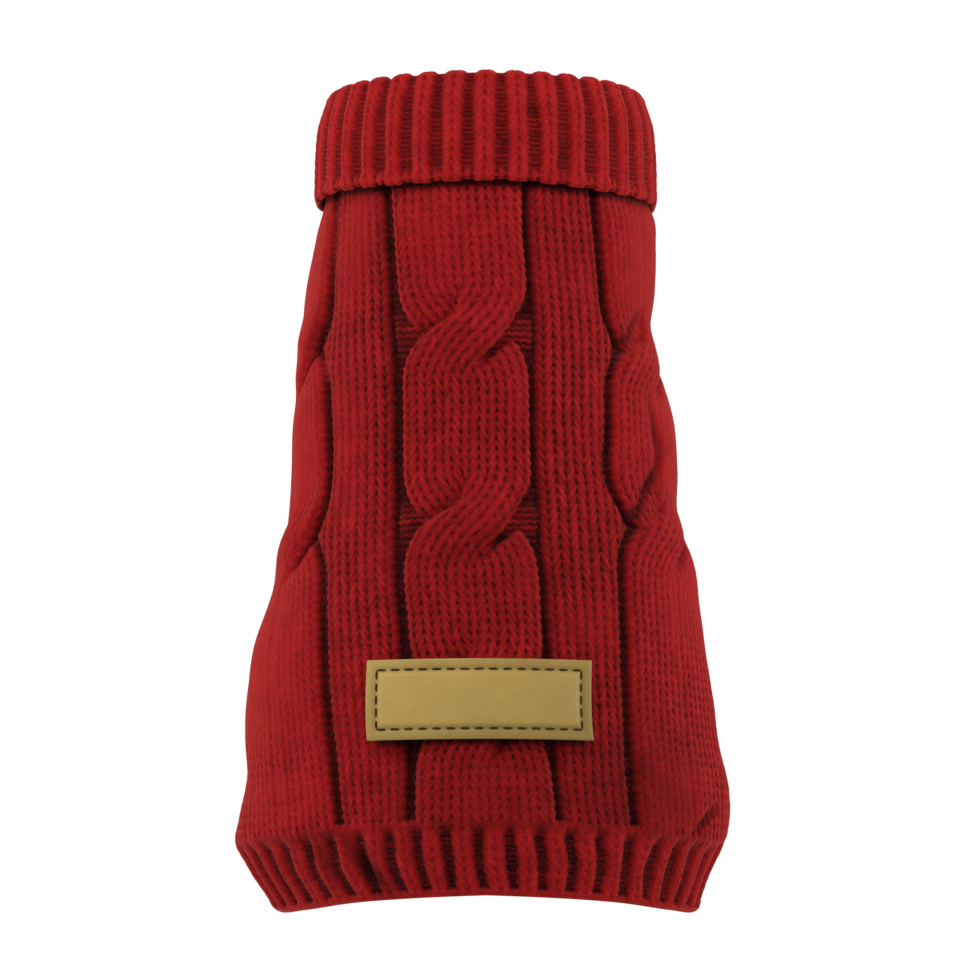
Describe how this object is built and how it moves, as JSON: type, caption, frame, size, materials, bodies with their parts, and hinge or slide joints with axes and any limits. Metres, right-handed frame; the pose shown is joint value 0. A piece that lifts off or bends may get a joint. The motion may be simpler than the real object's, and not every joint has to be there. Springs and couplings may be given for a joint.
{
  "type": "dog sweater",
  "caption": "Cable-knit dog sweater filled out on no wearer: rolled ribbed collar, cabled back, plain belly with leg openings, ribbed hem and a bare stitched patch.",
  "frame": {"origin": "middle of the neck tube, where the wearer's neck holds the garment", "axes": "+Z from the hem to the neck, -Y out of the side that lies along the dog's back, +X to the right as that side is looked at"},
  "size_m": [0.1575, 0.1321, 0.2645],
  "materials": {
    "red_knit": "soft wool-like knit, matte",
    "red_rib": "soft wool-like rib, matte",
    "tan_leather": "satin leather-look"
  },
  "bodies": {
    "root": {"back_panel": "red_knit", "belly_panel": "red_knit", "collar": "red_rib", "hem_band": "red_rib", "leg_band_left": "red_rib", "leg_band_right": "red_rib", "label": "tan_leather"}
  },
  "joints": []
}
